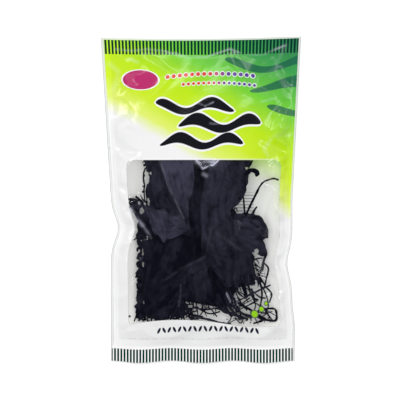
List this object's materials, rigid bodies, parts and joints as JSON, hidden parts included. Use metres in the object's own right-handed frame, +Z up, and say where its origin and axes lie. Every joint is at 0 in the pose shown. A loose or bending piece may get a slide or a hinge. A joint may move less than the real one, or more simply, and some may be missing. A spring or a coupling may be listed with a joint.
{
  "type": "sealed pouch of dried wakame",
  "caption": "Dried thread wakame pressed in flat dark bundles with loose strands, sealed in a printed film pouch with a clear window, lying on its back.",
  "frame": {"origin": "on the surface that the pouch lies on, under the middle of the pouch", "axes": "+X to the right of the printed front, +Y along the pouch towards its top seal, +Z up out of the front"},
  "size_m": [0.2, 0.3271, 0.0284],
  "materials": {
    "printed_film": "glossy clear film, printed white and green round a clear window",
    "back_film": "glossy film printed white, with green and striped ends",
    "wakame": "dry, near black, wrinkled along its length with a low sheen"
  },
  "bodies": {
    "root": {"front_film": "printed_film", "back_film": "back_film", "wakame_back": "wakame", "wakame_lower": "wakame", "wakame_left_fold": "wakame", "wakame_right_fold": "wakame", "wakame_upper_left": "wakame", "wakame_upper_right": "wakame"}
  },
  "joints": []
}
